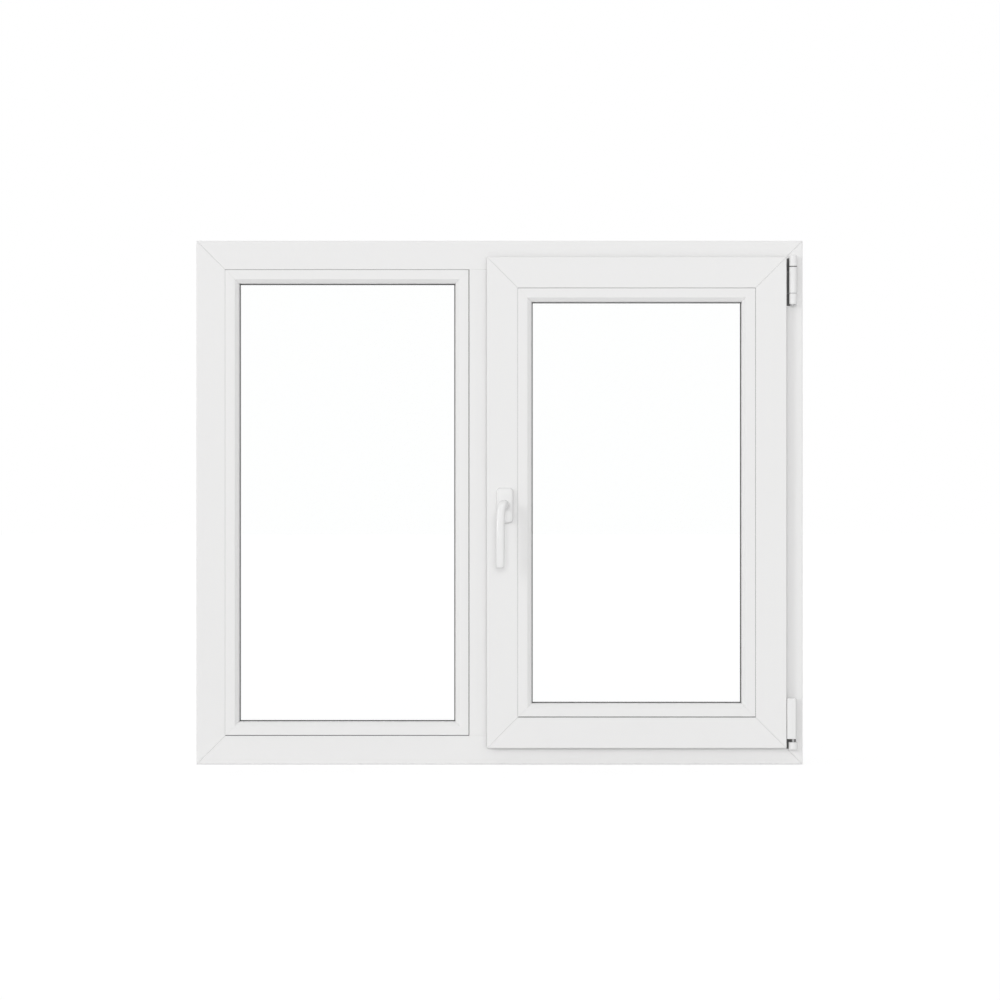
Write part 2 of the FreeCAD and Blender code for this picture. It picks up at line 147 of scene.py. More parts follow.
plasticLook = {
    "light": 0.818, "deep": 0.806, "warmth": 0.003, "roughness": 0.34, "ior": 1.48,
    "lines": 520.0, "pull": 0.012, "cloud": 4.0, "grain": 1400.0,
    "linesSwing": 0.10, "grainSwing": 0.05, "bump": 0.10, "bumpDepth": 0.0001,
    "cloudInColour": 0.6, "linesInBump": 0.7,
}
paintLook = {
    "light": 0.820, "deep": 0.800, "warmth": 0.002, "roughness": 0.17, "ior": 1.5,
    "peel": 900.0, "cloud": 18.0, "swing": 0.08, "bump": 0.12, "bumpDepth": 0.0003,
}
steelLook = {
    "light": (0.54, 0.535, 0.515, 1), "deep": (0.40, 0.41, 0.435, 1), "roughness": 0.28,
    "mottle": 120.0, "streak": 260.0, "pull": 0.06,
    "mottleSwing": 0.12, "streakSwing": 0.08, "bump": 0.15, "bumpDepth": 0.0002,
}
darkLook = {
    "blackSeal": (0.020, 0.036, 0.55), "blackPlastic": (0.100, 0.126, 0.40),  # levels and roughness
    "ior": 1.5, "dust": 60.0, "grain": 2200.0, "swing": 0.2, "bump": 0.15, "bumpDepth": 0.0002,
}
spacerLook = {
    "light": 0.72, "deep": 0.58, "roughness": 0.28, "brushed": 500.0, "pull": 0.05, "swing": 0.15,
}
glassLook = {"ior": 1.45, "tint": (0.998, 0.9995, 0.999, 1)}


def plasticFinish(name, along):
    # white window plastic with faint lines drawn the way the profile was pushed out
    finish, look = Finish(name), plasticLook
    stretch = [1.0, 1.0, 1.0]
    stretch[along] = look["pull"]
    drawn = finish.noise(look["lines"], 3.0, stretch)
    cloud = finish.noise(look["cloud"], 3.0)
    grain = finish.noise(look["grain"], 2.0)
    light, deep = (grey(look[key], look["warmth"]) for key in ("light", "deep"))
    roughness = look["roughness"] + (drawn - 0.5) * look["linesSwing"]
    roughness = roughness + (grain - 0.5) * look["grainSwing"]
    share, relief = look["cloudInColour"], look["linesInBump"]
    height = drawn * relief + grain * (1 - relief)
    shader = finish.node("ShaderNodeBsdfPrincipled", None, {
        "Base Color": finish.mix(cloud * share + drawn * (1 - share), light, deep),
        "Roughness": roughness,
        "IOR": look["ior"],
        "Normal": finish.bump(height, look["bump"], look["bumpDepth"]),
    })
    return finish.close(shader)


def paintFinish(name):
    # white powder coat of the handle and hinges, smoother than the plastic
    finish, look = Finish(name), paintLook
    peel = finish.noise(look["peel"], 2.0)
    cloud = finish.noise(look["cloud"], 2.0)
    light, deep = (grey(look[key], look["warmth"]) for key in ("light", "deep"))
    shader = finish.node("ShaderNodeBsdfPrincipled", None, {
        "Base Color": finish.mix(cloud, light, deep),
        "Roughness": look["roughness"] + (peel - 0.5) * look["swing"],
        "IOR": look["ior"],
        "Normal": finish.bump(peel, look["bump"], look["bumpDepth"]),
    })
    return finish.close(shader)


def steelFinish(name):
    # zinc plated steel with a soft mottle
    finish, look = Finish(name), steelLook
    mottle = finish.noise(look["mottle"], 4.0, roughness=0.65)
    streak = finish.noise(look["streak"], 2.0, (1, 1, look["pull"]))
    swing = mottle * look["mottleSwing"] + streak * look["streakSwing"]
    shader = finish.node("ShaderNodeBsdfPrincipled", None, {
        "Base Color": finish.mix(mottle, look["light"], look["deep"]),
        "Metallic": 1.0,
        "Roughness": look["roughness"] + swing,
        "Normal": finish.bump(streak, look["bump"], look["bumpDepth"]),
    })
    return finish.close(shader)


def darkFinish(name):
    # black rubber of the seals and of the strips that paint shade into the bead joints, or the
    # black plastic of small parts and of the pads behind the hinges, those at the top hinge
    # painting shade into its gap
    finish, look = Finish(name), darkLook
    deep, light, roughness = look[name]
    dust = finish.noise(look["dust"], 4.0)
    grain = finish.noise(look["grain"], 1.0)
    shader = finish.node("ShaderNodeBsdfPrincipled", None, {
        "Base Color": finish.mix(dust, grey(deep), grey(light)),
        "Roughness": roughness + dust * look["swing"],
        "IOR": look["ior"],
        "Normal": finish.bump(grain, look["bump"], look["bumpDepth"]),
    })
    return finish.close(shader)


def spacerFinish(name):
    # rolled aluminium between the panes
    finish, look = Finish(name), spacerLook
    brushed = finish.noise(look["brushed"], 2.0, (look["pull"], 1, look["pull"]))
    shader = finish.node("ShaderNodeBsdfPrincipled", None, {
        "Base Color": finish.mix(brushed, grey(look["light"]), grey(look["deep"])),
        "Metallic": 1.0,
        "Roughness": look["roughness"] + brushed * look["swing"],
    })
    return finish.close(shader)


def glassFinish(name):
    # clear glass: the view goes straight through, under a reflection that grows with the angle
    finish = Finish(name)
    turn = finish.node("ShaderNodeFresnel", None, {"IOR": glassLook["ior"]})
    inside = finish.node("ShaderNodeNewGeometry", out="Backfacing")
    clear = finish.node("ShaderNodeBsdfTransparent", None, {"Color": glassLook["tint"]})
    gloss = finish.node("ShaderNodeBsdfGlossy", None, {"Color": (1, 1, 1, 1), "Roughness": 0.0})
    share = turn * (1 - inside)
    return finish.close(finish.node("ShaderNodeMixShader", None, [share, clear, gloss]))


plasticAcross = plasticFinish("plasticAcross", 0)
plasticUp = plasticFinish("plasticUp", 2)
paint = paintFinish("whitePaint")
steel = steelFinish("zincSteel")
rubberAndShade = darkFinish("blackSeal")
blackPlastic = darkFinish("blackPlastic")
spacerMetal = spacerFinish("spacerMetal")
glass = glassFinish("clearGlass")
print("finishes made")


# mesh helpers

def rounded(points, steps=5, hold=0.25):
    # a closed outline, where a third number rounds that corner; a point at hold beyond each arc
    # keeps the flats beside it evenly shaded
    path = []
    for i, point in enumerate(points):
        here = Vector(point[:2])
        if len(point) < 3:
            path.append(here)
            continue
        toBefore = Vector(points[i - 1][:2]) - here
        toAfter = Vector(points[(i + 1) % len(points)][:2]) - here
        before, after = toBefore.normalized(), toAfter.normalized()
        half = before.angle(after) / 2
        reach = point[2] / math.tan(half)
        centre = here + (before + after).normalized() * (point[2] / math.sin(half))
        first, last = here + before * reach - centre, here + after * reach - centre
        arc = [centre + first.slerp(last, k / steps) * point[2] for k in range(steps + 1)]
        start = [here + before * (reach + hold)] if toBefore.length > 2.2 * (reach + hold) else []
        end = [here + after * (reach + hold)] if toAfter.length > 2.2 * (reach + hold) else []
        path += start + arc + end
    return path


def roundedBox(a0, b0, a1, b1, corner, steps=5, hold=0.25):
    points = [(a0, b0, corner), (a1, b0, corner), (a1, b1, corner), (a0, b1, corner)]
    return rounded(points, steps, hold)


def held(levels, hold=0.3):
    # two more levels in each straight stretch, near its ends, keep it evenly shaded
    more = []
    for i, (height, reach) in enumerate(levels):
        before = levels[i - 1] if i else (height, reach)
        if before[1] == reach and abs(height - before[0]) > 6 * hold:
            step = math.copysign(hold, height - before[0])
            more += [(before[0] + step, reach), (height - step, reach)]
        more.append((height, reach))
    return more


def skin(rings):
    # a closed mesh over rings of equally many points
    mesh = bpy.data.meshes.new("skin")
    count = len(rings[0])
    points = [Vector(point) * mm for ring in rings for point in ring]
    faces = []
    for i in range(len(rings) - 1):
        for k in range(count):
            n = (k + 1) % count
            faces.append((i * count + k, i * count + n, (i + 1) * count + n, (i + 1) * count + k))
    faces.append(tuple(range(count)))
    faces.append(tuple(range((len(rings) - 1) * count, len(rings) * count)))
    mesh.from_pydata(points, [], faces)
    shell = bmesh.new()
    shell.from_mesh(mesh)
    bmesh.ops.remove_doubles(shell, verts=shell.verts, dist=1e-7)
    bmesh.ops.recalc_face_normals(shell, faces=shell.faces)
    shell.to_mesh(mesh)
    shell.free()
    return mesh


def onAxis(axis, height, a, b):
    return {"x": (height, a, b), "y": (a, height, b), "z": (a, b, height)}[axis]


def layered(box, corner, layers, axis):
    # a rounded block over the outline box; a layer is a height along the axis and a pull inward
    a0, b0, a1, b1 = box
    rings = []
    for height, inset in held(layers):
        edge = roundedBox(a0 + inset, b0 + inset, a1 - inset, b1 - inset, max(corner - inset, 0.05))
        rings.append([onAxis(axis, height, a, b) for a, b in edge])
    return skin(rings)


def turned(profile, place, axis, steps=40):
    # a turned part: profile holds (height, radius) pairs along the axis through place
    rings = []
    for height, radius in held(profile):
        ring = []
        for k in range(steps):
            angle = math.tau * k / steps
            here = onAxis(axis, height, math.cos(angle) * radius, math.sin(angle) * radius)
            ring.append(tuple(Vector(place) + Vector(here)))
        rings.append(ring)
    return skin(rings)


def softEnds(start, end, cut):
    # the layers of a block with cut edges at both ends
    return [(start, cut), (start + cut, 0), (end - cut, 0), (end, cut)]


def rod(start, end, radius, cut, rise):
    # the profile of a rod: each end loses cut of its radius over a length of rise
    least = radius - cut
    return [(start, least), (start + rise, radius), (end - rise, radius), (end, least)]


def pushed(outline, start, end, axis):
    # an outline pushed straight along an axis
    return skin([[onAxis(axis, height, a, b) for a, b in outline] for height in (start, end)])


# each ring of a screw head: its height, its share of the radius, and whether it follows the cross
screwRings = (
    (-0.9, 0.8, False), (0.0, 1.0, False), (0.3, 0.9, False),
    (0.45, 0.62, False), (0.42, 0.5, True), (-0.6, 0.4, True),
)


def screwHead(radius, axis, sense, steps=16, waist=0.36):
    # a countersunk head with a cross recess; sense is the side that it looks to
    rings = []
    for height, reach, cross in screwRings:
        ring = []
        for k in range(steps):
            far = reach if not cross or k % 4 == 0 else reach * waist
            angle = math.tau * k / steps
            a, b = math.cos(angle) * far * radius, math.sin(angle) * far * radius
            ring.append(onAxis(axis, height * sense, a, b))
        rings.append(ring)
    return skin(rings)


def together(*meshes):
    whole = bmesh.new()
    for mesh in meshes:
        whole.from_mesh(mesh)
    result = bpy.data.meshes.new("together")
    whole.to_mesh(result)
    whole.free()
    return result


def partOnly(mesh):
    # an object for a modifier to work with, removed after it
    part = bpy.data.objects.new("part", mesh)
    scene.collection.objects.link(part)
    return part


def plainMesh(part):
    shaped = part.evaluated_get(bpy.context.evaluated_depsgraph_get())
    mesh = bpy.data.meshes.new_from_object(shaped)
    part.modifiers.clear()
    bpy.data.objects.remove(part)
    return mesh


beyond = 1.0  # how far a cutter reaches past the face that it opens
hair = 0.01  # keeps a cutter off the walls that it only touches


def cutAway(mesh, *cutters):
    part = partOnly(mesh)
    tools = [partOnly(cutter) for cutter in cutters]
    for tool in tools:
        change = part.modifiers.new("cut", "BOOLEAN")
        change.operation = "DIFFERENCE"
        change.solver = "EXACT"
        change.object = tool
    result = plainMesh(part)
    for tool in tools:
        bpy.data.objects.remove(tool)
    return result


def shadeSoft(mesh, sharp):
    shell = bmesh.new()
    shell.from_mesh(mesh)
    limit = math.radians(sharp)
    for edge in shell.edges:
        edge.smooth = len(edge.link_faces) == 2 and edge.calc_face_angle(math.pi) < limit
    for face in shell.faces:
        face.smooth = True
    shell.to_mesh(mesh)
    shell.free()


def newPiece(name, mesh, finish, body, nodes=(), sharp=35):
    # one finished piece: its shading, material, body, and the nodes that it stands for
    mesh.name = name
    shadeSoft(mesh, sharp)
    if finish:
        mesh.materials.clear()
        mesh.materials.append(finish)
    thing = bpy.data.objects.new(name, mesh)
    scene.collection.objects.link(thing)
    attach(thing, body)
    if nodes:
        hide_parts(*nodes)
    return thing


# node trees

def grow(shape, values):
    # the plain mesh that a geometry node tree makes from these values
    seed = partOnly(bpy.data.meshes.new("seed"))
    modifier = seed.modifiers.new("shape", "NODES")
    modifier.node_group = shape.tree
    for label, value in values.items():
        modifier[shape.keys[label]] = value
    return plainMesh(seed)


def makeRowShape():
    # copies of one part in a straight row
    shape = Shape("rowOfParts", [
        ("Part", "Object", None), ("First", "Vector", (0, 0, 0)), ("Step", "Vector", (0.1, 0, 0)),
        ("Count", "Int", 3),
    ])
    line = shape.node("GeometryNodeMeshLine", {"mode": "OFFSET"}, {
        "Count": shape.given("Count"),
        "Start Location": shape.given("First"), "Offset": shape.given("Step"),
    })
    values = {"Object": shape.given("Part"), "As Instance": True}
    part = shape.node("GeometryNodeObjectInfo", None, values, "Geometry")
    values = {"Points": line, "Instance": part}
    return shape.close(shape.node("GeometryNodeInstanceOnPoints", None, values))


def makeSealShape():
    # a soft bulb swept round a rectangle that stands upright
    shape = Shape("sealRing", [
        ("Width", "Float", 1.0), ("Height", "Float", 1.0), ("Corner", "Float", 0.002),
        ("Bulb Width", "Float", 0.003), ("Bulb Depth", "Float", 0.003),
        ("Bulb Round", "Float", 0.001), ("Place", "Vector", (0, 0, 0)),
    ])
    rectangle = "GeometryNodeCurvePrimitiveQuadrilateral"
    size = {"Width": shape.given("Width"), "Height": shape.given("Height")}
    path = shape.node(rectangle, None, size)
    path = shape.node("GeometryNodeFilletCurve", {"mode": "POLY"}, {
        "Curve": path, "Count": 5, "Radius": shape.given("Corner"),
    })
    path = shape.node("GeometryNodeSetCurveNormal", {"mode": "Z_UP"}, {"Curve": path})
    size = {"Width": shape.given("Bulb Width"), "Height": shape.given("Bulb Depth")}
    bulb = shape.node(rectangle, None, size)
    bulb = shape.node("GeometryNodeFilletCurve", {"mode": "POLY"}, {
        "Curve": bulb, "Count": 4, "Radius": shape.given("Bulb Round"),
    })
    ring = shape.node("GeometryNodeCurveToMesh", None, {"Curve": path, "Profile Curve": bulb})
    return shape.close(shape.node("GeometryNodeTransform", None, {
        "Geometry": ring, "Translation": shape.given("Place"), "Rotation": (math.radians(90), 0, 0),
    }))


def makeSlitShape():
    # small breathing slits in two rows round the air side of a spacer
    shape = Shape("spacerSlits", [
        ("Width", "Float", 1.0), ("Height", "Float", 1.0), ("Pitch", "Float", 0.006),
        ("Apart", "Float", 0.006), ("Slit", "Vector", (0.0005, 0.0005, 0.002)),
        ("Place", "Vector", (0, 0, 0)),
    ])
    size = {"Width": shape.given("Width"), "Height": shape.given("Height")}
    path = shape.node("GeometryNodeCurvePrimitiveQuadrilateral", None, size)
    spread = {"Curve": path, "Length": shape.given("Pitch")}
    points = shape.node("GeometryNodeCurveToPoints", {"mode": "LENGTH"}, spread, "Points")
    turn = Flow(shape, points.socket.node.outputs["Rotation"])
    slit = shape.node("GeometryNodeMeshCube", None, {"Size": shape.given("Slit")})
    values = {"Points": points, "Instance": slit, "Rotation": turn}
    row = shape.node("GeometryNodeInstanceOnPoints", None, values)
    rows = shape.node("GeometryNodeJoinGeometry")
    for side in (-0.5, 0.5):
        shift = shape.node("ShaderNodeCombineXYZ", None, {"Z": shape.given("Apart") * side})
        moved = shape.node("GeometryNodeTransform", None, {"Geometry": row, "Translation": shift})
        shape.tree.links.new(moved.socket, rows.socket.node.inputs[0])
    return shape.close(shape.node("GeometryNodeTransform", None, {
        "Geometry": rows, "Translation": shape.given("Place"), "Rotation": (math.radians(90), 0, 0),
    }))


rowShape = makeRowShape()
sealShape = makeSealShape()
slitShape = makeSlitShape()


def inRow(mesh, first, step, count, finish):
    part = partOnly(mesh)
    copies = grow(rowShape, {
        "Part": part, "First": [v * mm for v in first], "Step": [v * mm for v in step],
        "Count": count, "Finish": finish,
    })
    bpy.data.objects.remove(part)
    return copies


print("node trees made")


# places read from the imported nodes

def low(node, axis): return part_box(node)[0][axis] / mm
def high(node, axis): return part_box(node)[1][axis] / mm
def outlineOf(node): return (low(node, 0), low(node, 2), high(node, 0), high(node, 2))


# left, bottom, right and top edge
frameEdge = (
    low("frame_left_jamb", 0), low("frame_sill", 2),
    high("frame_right_jamb", 0), high("frame_head", 2),
)
sashEdge = (
    low("sash_lock_stile", 0), low("sash_bottom_rail", 2),
    high("sash_hinge_stile", 0), high("sash_top_rail", 2),
)
frameFront, frameBack = low("frame_sill", 1), high("frame_sill", 1)
sashFront, sashBack = low("sash_bottom_rail", 1), high("sash_bottom_rail", 1)

weld = {"half": 0.45, "deep": 0.65, "hold": 0.4}
beadJoint = {"half": 0.35, "deep": 0.3, "hold": 0.3}
sides = ("bottom", "right", "top", "left")


def mitredBar(opening, section, side, joint):
    # a straight bar with both ends cut at 45 degrees, each with half of a shallow joint line
    x0, z0, x1, z1 = opening
    count = len(section)
    area = sum(section[i - 1].cross(section[i]) for i in range(count))
    turn = 1 if area > 0 else -1
    sunk = []
    for i, here in enumerate(section):
        before = (here - section[i - 1]).normalized()
        after = (section[(i + 1) % count] - here).normalized()
        inward = Vector((-(before + after).y, (before + after).x)) * turn
        sunk.append(here + inward.normalized() * joint["deep"])

    def at(point, along, far):
        u, y = point
        edge = {"bottom": z0 + u, "top": z1 - u, "left": x0 + u, "right": x1 - u}[side]
        if side in ("bottom", "top"):
            return (x1 - u - along if far else x0 + u + along, y, edge)
        return (edge, y, z1 - u - along if far else z0 + u + along)

    near = [(sunk, 0), (section, joint["half"]), (section, joint["half"] + joint["hold"])]
    steps = [(points, along, False) for points, along in near]
    steps += [(points, along, True) for points, along in reversed(near)]
    return skin([[at(point, along, far) for point in points] for points, along, far in steps])


# outer frame

frameBar = {
    "face": 52.0, "lip": 22.0, "lipDepth": 15.0, "slope": 7.0,
    "round": 2.0, "faceRound": 0.7, "lipRound": 1.5,
    "keyFront": 12.0, "keyBack": 15.4, "keyDeep": 3.9,
    "channelDeep": 2.5, "channelWide": 10.0, "channels": (-13.0, 19.0),
    "slotLength": 28.0, "slotWidth": 5.0, "slotDeep": 12.0, "slotY": -3.0,
    "slotPlaces": (104.0, 394.0),
}


def frameSection():
    f, y0, y1 = frameBar, frameFront, frameBack
    inner = f["face"] + f["lip"]
    points = [
        (0, y0, f["round"]), (f["face"], y0, f["faceRound"]),
        (f["face"], y0 + f["keyFront"]), (f["face"] - f["keyDeep"], y0 + f["keyFront"]),
        (f["face"] - f["keyDeep"], y0 + f["keyBack"]), (f["face"], y0 + f["keyBack"]),
        (f["face"], y1 - f["lipDepth"]), (inner, y1 - f["lipDepth"]),
        (inner, y1 - f["slope"], f["lipRound"]), (inner - f["slope"], y1, f["lipRound"]),
        (0, y1, f["round"]),
    ]
    half, deep = f["channelWide"] / 2, f["channelDeep"]
    for middle in sorted(f["channels"], reverse=True):  # for the wall fixings, in the outer edge
        points += [(0, middle + half), (deep, middle + half)]
        points += [(deep, middle - half), (0, middle - half)]
    return rounded(points)


members = ("frame_sill", "frame_right_jamb", "frame_head", "frame_left_jamb")
for side, node in zip(sides, members):
    mesh = mitredBar(frameEdge, frameSection(), side, weld)
    if side == "bottom":
        half, wide = frameBar["slotLength"] / 2, frameBar["slotWidth"] / 2
        drains = []
        for x in frameBar["slotPlaces"]:
            y, z = frameBar["slotY"], frameEdge[1] + frameBar["face"]
            slot = (x - half, y - wide, x + half, y + wide)
            depths = [(z - frameBar["slotDeep"], 0), (z + beyond, 0)]
            drains.append(layered(slot, wide - hair, depths, "z"))
        mesh = cutAway(mesh, *drains)
    finish = plasticAcross if side in ("bottom", "top") else plasticUp
    newPiece("frameBar_" + side, mesh, finish, "frame", [node])
print("outer frame made")


# sash frame

sashBar = {
    "face": 56.0, "lip": 22.0, "lipDepth": 13.0, "slope": 7.0, "body": 34.0, "flangeDepth": 13.0,
    "edgeRound": 1.6, "round": 2.0, "faceRound": 0.7, "backRound": 1.5,
    "keyFront": 12.0, "keyBack": 15.4, "keyDeep": 3.9,
    "grooveFront": 18.0, "grooveBack": 34.0, "grooveDeep": 10.0,
    "pocketDeep": 16.0, "pocketRound": 1.0, "pocket": (-12.0, 40.0),
}
armPin = {"x": low("stay_arm", 0) + 7.0, "y": -27.0}


def sashSection():
    s, y0, y1 = sashBar, sashFront, sashBack
    inner = s["face"] + s["lip"]
    return rounded([
        (0, y0 + s["flangeDepth"], s["backRound"]),
        (0, y0, s["edgeRound"]), (s["face"], y0, s["faceRound"]),
        (s["face"], y0 + s["keyFront"]), (s["face"] - s["keyDeep"], y0 + s["keyFront"]),
        (s["face"] - s["keyDeep"], y0 + s["keyBack"]), (s["face"], y0 + s["keyBack"]),
        (s["face"], y1 - s["lipDepth"]), (inner, y1 - s["lipDepth"]),
        (inner, y1 - s["slope"], s["backRound"]), (inner - s["slope"], y1, s["backRound"]),
        (s["body"], y1, s["round"]), (s["body"], y0 + s["grooveBack"]),
        (s["body"] + s["grooveDeep"], y0 + s["grooveBack"]),
        (s["body"] + s["grooveDeep"], y0 + s["grooveFront"]), (s["body"], y0 + s["grooveFront"]),
        (s["body"], y0 + s["flangeDepth"]),
    ])


members = ("sash_bottom_rail", "sash_hinge_stile", "sash_top_rail", "sash_lock_stile")
for side, node in zip(sides, members):
    mesh = mitredBar(sashEdge, sashSection(), side, weld)
    if side == "top":  # the stay arm's pin runs in a deeper pocket
        top = sashEdge[3] - sashBar["body"]
        start, end = (armPin["x"] + reach for reach in sashBar["pocket"])
        front, back = sashFront + sashBar["grooveFront"], sashFront + sashBar["grooveBack"]
        walls = (start, front + hair, end, back - hair)
        depths = [(top - sashBar["pocketDeep"], 0), (top + beyond, 0)]
        mesh = cutAway(mesh, layered(walls, sashBar["pocketRound"], depths, "z"))
    finish = plasticAcross if side in ("bottom", "top") else plasticUp
    newPiece("sashBar_" + side, mesh, finish, "sash", [node])
print("sash frame made")


# glazing of both lights

beadBar = {
    "foot": 3.6, "footFront": 11.6, "footBack": 14.4,
    "flat": 17.5, "width": 25.6, "slope": 5.0, "lean": 0.8, "proud": 0.5,
    "edgeRound": 0.4, "frontRound": 2.5, "innerRound": 1.5, "shadeStripFront": 0.7, "shadeStripBack": 6.0,
    # the play on each side sets how wide the painted shade line shows, widest at the bottom, the
    # side most in shade under the light from the upper left
    "gaps": {
        "fixed": {"bottom": 1.2, "right": 1.0, "top": 0.55, "left": 0.15},
        "sash": {"bottom": 1.4, "right": 0.5, "top": 0.6, "left": 0.25},
    },
}
glazing = {
    # width, depth and distance of the middle from the opening's edge
    "innerBulb": (2.4, 3.0, 26.0), "outerBulb": (2.2, 3.0, 22.3), "bulbRound": 0.9, "corner": 1.6,
    "arris": 0.5, "paneCorner": 1.0, "spacerEdge": 16.0, "slitPitch": 6.0, "slitsApart": 5.0,
}


def beadSection(front, back, gap):
    # a bead snaps in with a little play, which shows as a thin dark joint; the black strip set in
    # that play makes it a line of painted shade
    b = beadBar
    face = front - b["proud"]
    return rounded([
        (0, back), (0, front + b["footBack"]), (-b["foot"], front + b["footBack"]),
        (-b["foot"], front + b["footFront"]), (gap, front + b["footFront"]),
        (gap, face, b["edgeRound"]), (b["flat"], face, b["frontRound"]),
        (b["width"] - b["lean"], front + b["slope"], b["innerRound"]), (b["width"], back),
    ])


def shadeStripSection(front, gap):
    # the soft black strip that fills the joint between bead and profile, a little below the face,
    # is painted shade: it darkens the joint as a deep shadow would
    b = beadBar
    return rounded([
        (0, front + b["shadeStripBack"]), (0, front + b["shadeStripFront"]),
        (gap, front + b["shadeStripFront"]), (gap, front + b["shadeStripBack"]),
    ])


def ringValues(opening, inward, y, finish):
    # size, place and finish of a ring that lies at this distance inside an opening
    x0, z0, x1, z1 = opening
    return {
        "Width": (x1 - x0 - 2 * inward) * mm, "Height": (z1 - z0 - 2 * inward) * mm,
        "Place": [(x0 + x1) / 2 * mm, y * mm, (z0 + z1) / 2 * mm], "Finish": finish,
    }


def sealMesh(opening, bulb, face):
    # a pressed seal on the face of a pane
    width, depth, middle = bulb
    values = ringValues(opening, middle, face + depth / 2, rubberAndShade)
    values.update({
        "Corner": glazing["corner"] * mm, "Bulb Round": glazing["bulbRound"] * mm,
        "Bulb Width": width * mm, "Bulb Depth": depth * mm,
    })
    return grow(sealShape, values)


def glazeLight(light, body):
    foot, gaps = beadBar["foot"], beadBar["gaps"][light]
    x0, z0 = low(light + "_bead_left", 0) + foot, low(light + "_bead_bottom", 2) + foot
    x1, z1 = high(light + "_bead_right", 0) - foot, high(light + "_bead_top", 2) - foot
    opening = (x0, z0, x1, z1)
    front, back = low(light + "_bead_left", 1), high(light + "_bead_left", 1)
    shadeStrips = []
    for side in sides:
        finish = plasticAcross if side in ("bottom", "top") else plasticUp
        node = light + "_bead_" + side
        mesh = mitredBar(opening, beadSection(front, back, gaps[side]), side, beadJoint)
        newPiece(light + "Bead_" + side, mesh, finish, body, [node])
        shadeStrips.append(mitredBar(opening, shadeStripSection(front, gaps[side]), side, beadJoint))
    # the strips paint the shade of the bead joints
    newPiece(light + "BeadStrips", together(*shadeStrips), rubberAndShade, body)
    mesh, node = sealMesh(opening, glazing["innerBulb"], back), light + "_inner_seal"
    newPiece(light + "InnerSeal", mesh, None, body, [node], sharp=50)
    outside, node = high(light + "_outer_pane", 1), light + "_outer_seal"
    mesh = sealMesh(opening, glazing["outerBulb"], outside)
    newPiece(light + "OuterSeal", mesh, None, body, [node], sharp=50)
    for pane in ("inner_pane", "outer_pane"):
        node, cut = light + "_" + pane, glazing["arris"]
        y0, y1 = low(node, 1), high(node, 1)
        mesh = layered(outlineOf(node), glazing["paneCorner"], softEnds(y0, y1, cut), "y")
        newPiece(light + pane.title().replace("_", ""), mesh, glass, body, [node])
    middle = (low(light + "_spacer", 1) + high(light + "_spacer", 1)) / 2
    values = ringValues(opening, glazing["spacerEdge"], middle, blackPlastic)
    values.update({"Pitch": glazing["slitPitch"] * mm, "Apart": glazing["slitsApart"] * mm})
    newPiece(light + "SpacerSlits", grow(slitShape, values), None, body)


glazeLight("fixed", "frame")
glazeLight("sash", "sash")
print("lights glazed")


# hinges

hinge = {
    "x": 532.0, "y": -48.0, "steps": 48,
    "lug": 7.0, "lugRound": 2.0, "roundSteps": 5, "lugCut": 0.5, "innerCut": 0.3, "lugGap": 0.5,
    "web": 10.0, "webRound": 0.8, "webCut": 0.6, "webShort": 0.2,
    "sleeve": 7.2, "sleeveHigh": 903.0, "sleeveShort": (0.2, 1.0), "sleeveCut": 0.4,
    "washer": 7.1, "washerThick": 1.4, "washerCut": 0.1, "washerRise": 0.2,
    "pad": 0.8, "strapPadThick": 0.6, "padRound": 0.8, "padCut": 0.3, "padSunk": 0.2,
    "topShadePad": (520.6, 832.0, 527.4, 918.0), "bottomPad": (520.4, 28.4, 537.6, 47.6),
    "strapShadePad": (519.4, 855.2, 526.0, 893.0), "strapFront": -38.75,
}
stay = {
    "top": 893.5, "rivetY": -28.0, "rivets": (170.0, 110.0, 3),  # first, step, count
    "rivet": [(-4.2, 3.2), (-3.4, 3.6), (-0.1, 3.6), (0.4, 3.4), (0.9, 2.4), (1.1, 0.9)],
    "roller": [
        (873.6, 5.2), (874.4, 6.0), (880.8, 6.0), (881.4, 5.5),
        (882.0, 6.0), (888.6, 6.0), (889.4, 5.2),
    ],
    "rivetSteps": 16, "rollerSteps": 32,
}
cover = {
    "box": (520.7, -55.4, 537.8, -41.0), "corner": 3.6, "low": 46.8, "high": 121.0, "foot": 0.5,
    "crown": [(2.4, 0), (1.2, 0.35), (0.4, 1.0), (0.0, 2.2)],  # distance from the top, pull inward
    "gasket": (519.5, -51.2, 521.4, -43.0), "gasketRound": 0.3,
    "gasketCut": 0.2, "gasketShort": (1.2, 3.0),
}
tiltPin = {
    "radius": 2.1, "inCover": 1.0, "steps": 24,
    "cross": 2.8, "crossLength": 7.6, "cut": 0.4, "z": 34.5,
}
topLow, topHigh = low("top_hinge_bracket", 2), high("top_hinge_bracket", 2)
knuckleLow, knuckleHigh = low("stay_arm", 2), hinge["sleeveHigh"]
lugHeight = knuckleLow - hinge["lugGap"] - topLow
place = (hinge["x"], hinge["y"], 0)


